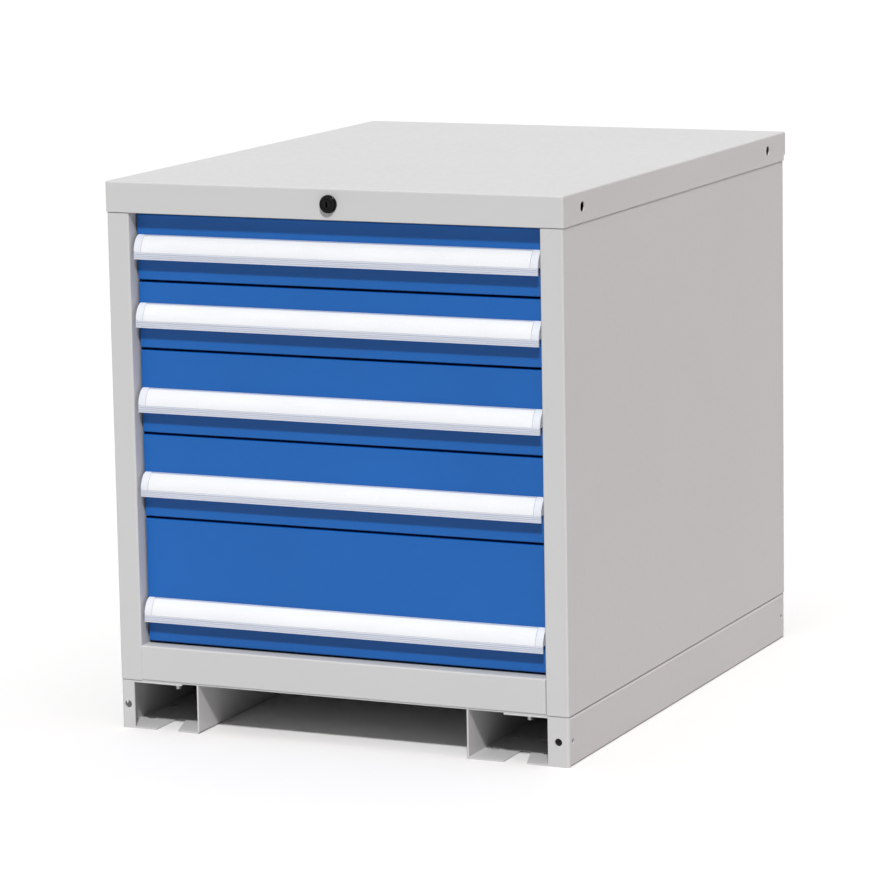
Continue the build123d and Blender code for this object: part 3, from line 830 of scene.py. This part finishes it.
def makeLockPlug():
    sizes = lockSizes
    plugLow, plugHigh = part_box("lock_plug")
    face = plugLow.y
    chamfer = sizes["plugChamfer"]
    profile = [
        (sizes["plugRadius"] - chamfer, face),
        (sizes["plugRadius"], face + chamfer),
        (sizes["plugRadius"], plugHigh.y),
    ]
    bm = bmesh.new()
    rings = turnedRings(bm, profile, lockCentre, sizes["plugSegments"])
    bridgeRings(bm, rings)
    bm.faces.new(rings[-1])
    # the key slot is narrower at its top, beside one ward
    halfWidth, halfHeight = sizes["slotWidth"] / 2, sizes["slotHeight"] / 2
    wardX, wardZ = halfWidth * sizes["wardWidth"], halfHeight * sizes["wardHeight"]
    corners = [
        (-halfWidth, -halfHeight),
        (halfWidth, -halfHeight),
        (halfWidth, wardZ),
        (halfWidth - wardX, wardZ),
        (halfWidth - wardX, halfHeight),
        (-halfWidth, halfHeight),
    ]
    slotRings = [
        [bm.verts.new((lockCentre.x + x, y, lockCentre.z + z)) for x, z in corners]
        for y in (face, face + sizes["slotDepth"])
    ]
    bridgeRings(bm, slotRings)
    bm.faces.new(slotRings[1])
    # the plug's face fills the space between its outer circle and the slot
    rim = []
    for ring in (rings[0], slotRings[0]):
        for vert, following in zip(ring, ring[1:] + ring[:1]):
            rim.append(bm.edges.get((vert, following)))
    bmesh.ops.triangle_fill(bm, use_beauty=True, use_dissolve=False, edges=rim)
    piece = pieceFrom(bm, "lockPlug")
    finishPiece(piece, "lock_black", "lock_plug", ("lock_plug",), smoothAngle=30)
    weighNormals(piece)


makeLockHousing()
makeLockPlug()
print("lock ready")


# Rivets round the back panel, in the trays and on the slides; threads on the base bolts
rivetSizes = {
    "backRadius": 0.0032,
    "backHeight": 0.0011,
    "backEdge": 0.008,
    "backCount": 7,
    "trayRadius": 0.0030,
    "trayHeight": 0.0010,
    "trayCount": 5,
    "traySpan": 0.86,
    "trayWall": 0.001,
    "trayRaise": 0.0062,
    "rollerRadius": 0.0042,
    "rollerHeight": 0.0012,
}
railSizes = {
    "plateInner": 0.2465,
    "plateOuter": 0.2485,
    "firstInset": 0.020,
    "secondInset": 0.030,
    "stroke": 0.600,
}


def makeBackRivets():
    low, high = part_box("back_panel")
    sizes = rivetSizes
    inset = sizes["backEdge"]
    rows = []
    tall = (high.z - low.z - 4 * inset) / (sizes["backCount"] - 1)
    for x in (low.x + inset, high.x - inset):
        values = {
            "Count": sizes["backCount"],
            "Start": (x, high.y, low.z + 2 * inset),
            "Step": (0.0, 0.0, tall),
            "Turn": (-math.pi / 2, 0.0, 0.0),
            "Radius": sizes["backRadius"],
            "Height": sizes["backHeight"],
        }
        rows.append(runTree(rivetTree, "backRow", values, "zinc_steel"))
    piece = joined(rows, "backRivets")
    finishPiece(piece, "zinc_steel", "cabinet")


def makeTrayRivets(number):
    # through the tray's front wall into the lip of the drawer front
    low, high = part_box(f"tray_{number}")
    sizes = rivetSizes
    span = (high.x - low.x) * sizes["traySpan"]
    values = {
        "Count": sizes["trayCount"],
        "Start": (-span / 2, low.y + sizes["trayWall"], low.z + sizes["trayRaise"]),
        "Step": (span / (sizes["trayCount"] - 1), 0.0, 0.0),
        "Turn": (-math.pi / 2, 0.0, 0.0),
        "Radius": sizes["trayRadius"],
        "Height": sizes["trayHeight"],
    }
    piece = runTree(rivetTree, f"trayRivets_{number}", values, "zinc_steel")
    finishPiece(piece, "zinc_steel", f"drawer_{number}")


def makeRollerRivets(number):
    # the rollers' axles are riveted over on the far face of the middle rail
    low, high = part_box(f"middle_rails_{number}")
    centreZ = (low.z + high.z) / 2
    sizes = rivetSizes
    endInset = railSizes["firstInset"]
    midInset = railSizes["stroke"] / 2 + railSizes["secondInset"]
    outerY = (high.y - endInset, low.y + midInset)
    innerY = (low.y + endInset, high.y - midInset)
    rows = []
    for side in (-1, 1):
        for places, x, turn in (
            (outerY, railSizes["plateInner"], -side),
            (innerY, railSizes["plateOuter"], side),
        ):
            values = {
                "Count": 2,
                "Start": (side * x, places[0], centreZ),
                "Step": (0.0, places[1] - places[0], 0.0),
                "Turn": (0.0, turn * math.pi / 2, 0.0),
                "Radius": sizes["rollerRadius"],
                "Height": sizes["rollerHeight"],
            }
            rows.append(runTree(rivetTree, "rollerRow", values, "zinc_steel"))
    piece = joined(rows, f"rollerRivets_{number}")
    finishPiece(piece, "zinc_steel", f"middle_{number}")


threadSizes = {"pitch": 0.001, "ridge": 0.00035, "radius": 0.0030, "halfHead": 0.005}


def makeThreads():
    low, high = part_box("base_bolts")
    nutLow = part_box("base_nuts")[0]
    # the node's box ends at a hexagon's corner in X and at its flat in Y
    halfHead = threadSizes["halfHead"]
    headCorner = halfHead * 2 / math.sqrt(3)
    rows = []
    for x in (low.x + headCorner, high.x - headCorner):
        for y in (low.y + halfHead, high.y - halfHead):
            values = {
                "Radius": threadSizes["radius"],
                "Pitch": threadSizes["pitch"],
                "Length": nutLow.z - low.z,
                "Ridge": threadSizes["ridge"],
                "Top": (x, y, nutLow.z),
            }
            rows.append(runTree(threadTree, "threadRow", values, "zinc_steel"))
    piece = joined(rows, "boltThreads")
    finishPiece(piece, "zinc_steel", "cabinet")


makeBackRivets()
for number in drawerNumbers:
    makeTrayRivets(number)
    makeRollerRivets(number)
makeThreads()
print("fasteners ready")


# Floor and light
stageSizes = {
    "floorHalf": 30.0,
    "floorCells": 4,
    "floorSeen": (0.80, 0.80, 0.80),
    "floorBounce": (0.69, 0.69, 0.69),
    "floorRoughness": 0.9,
    "floorGloss": 0.1,
    "overhead": 1.82,
    "falloff": 4.0,
}
suns = {
    "keyLight": {
        "towards": (0.28, -0.64, 0.745),
        "strength": 2.9,
        "softness": 5,
        "colour": (1.0, 0.995, 0.985),
    },
    "sideFill": {
        "towards": (0.95, -0.1, 0.3),
        "strength": 0.18,
        "softness": 30,
        "colour": (1.0, 0.2, 0.15),
    },
}


def shownRays(nodes, links):
    # 1 for a ray that shows the background itself: from the camera, in a reflection or through glass
    rays = nodes.new("ShaderNodeLightPath")
    shown = rays.outputs["Is Camera Ray"]
    for kind in ("Is Glossy Ray", "Is Transmission Ray"):
        either = nodes.new("ShaderNodeMath")
        either.operation = "MAXIMUM"
        links.new(shown, either.inputs[0])
        links.new(rays.outputs[kind], either.inputs[1])
        shown = either.outputs[0]
    return shown


def makeFloor():
    sizes = stageSizes
    cells = sizes["floorCells"]
    bm = bmesh.new()
    bmesh.ops.create_grid(bm, x_segments=cells, y_segments=cells, size=sizes["floorHalf"])
    floor = pieceFrom(bm, "studioFloor")
    material, nodes, links, shader = newMaterial("floorWhite")
    shown = shownRays(nodes, links)
    tone = mixColours(nodes, links, shown, sizes["floorBounce"], sizes["floorSeen"])
    links.new(tone, shader.inputs["Base Color"])
    shader.inputs["Roughness"].default_value = sizes["floorRoughness"]
    shader.inputs["Specular IOR Level"].default_value = sizes["floorGloss"]
    floor.data.materials.append(material)


def makeSky():
    # a soft glow from overhead that fades towards the horizon
    # seen directly, in a reflection or through glass it is plain white
    world = bpy.data.worlds.new("studioSky")
    scene.world = world
    world.use_nodes = True
    nodes, links = world.node_tree.nodes, world.node_tree.links
    soft = nodes["Background"]
    white = nodes.new("ShaderNodeBackground")
    white.inputs["Color"].default_value = (1, 1, 1, 1)
    place = nodes.new("ShaderNodeTexCoord")
    split = nodes.new("ShaderNodeSeparateXYZ")
    links.new(place.outputs["Generated"], split.inputs["Vector"])
    # below the horizon the height is held at zero
    raised = nodes.new("ShaderNodeMapRange")
    links.new(split.outputs["Z"], raised.inputs["Value"])
    fade = nodes.new("ShaderNodeMath")
    fade.operation = "POWER"
    fade.inputs[1].default_value = stageSizes["falloff"]
    links.new(raised.outputs["Result"], fade.inputs[0])
    level = nodes.new("ShaderNodeMath")
    level.operation = "MULTIPLY"
    level.inputs[1].default_value = stageSizes["overhead"]
    links.new(fade.outputs[0], level.inputs[0])
    links.new(level.outputs[0], soft.inputs["Strength"])
    soft.inputs["Color"].default_value = (1, 1, 1, 1)
    mix = nodes.new("ShaderNodeMixShader")
    links.new(shownRays(nodes, links), mix.inputs["Fac"])
    links.new(soft.outputs["Background"], mix.inputs[1])
    links.new(white.outputs["Background"], mix.inputs[2])
    links.new(mix.outputs["Shader"], nodes["World Output"].inputs["Surface"])


def addSun(name, recipe):
    sun = bpy.data.lights.new(name, "SUN")
    sun.energy = recipe["strength"]
    sun.angle = math.radians(recipe["softness"])
    sun.color = recipe["colour"]
    lamp = bpy.data.objects.new(name, sun)
    lamp.rotation_mode = "QUATERNION"
    lamp.rotation_quaternion = Vector(recipe["towards"]).to_track_quat("Z", "Y")
    scene.collection.objects.link(lamp)


makeFloor()
makeSky()
for name, recipe in suns.items():
    addSun(name, recipe)

# Camera, at the photograph's angle
view = {
    "place": (2.0562, -4.6226, 1.1807),
    "turn": 24.213,
    "tilt": 9.951,
    "roll": -1.0,
    "lens": 169.3,
    "sensor": 36,
}


def makeCamera():
    turn, tilt, roll = (math.radians(view[key]) for key in ("turn", "tilt", "roll"))
    ahead = Vector((-math.sin(turn) * math.cos(tilt), math.cos(turn) * math.cos(tilt), -math.sin(tilt)))
    across = Vector((math.cos(turn), math.sin(turn), 0))
    upward = across.cross(ahead)
    right = across * math.cos(roll) + upward * math.sin(roll)
    top = upward * math.cos(roll) - across * math.sin(roll)
    camera = bpy.data.objects.new("camera", bpy.data.cameras.new("camera"))
    camera.data.lens = view["lens"]
    camera.data.sensor_width = view["sensor"]
    camera.rotation_mode = "QUATERNION"
    camera.rotation_quaternion = Matrix((right, top, -ahead)).transposed().to_quaternion()
    camera.location = view["place"]
    scene.collection.objects.link(camera)
    scene.camera = camera


makeCamera()
print("stage ready")
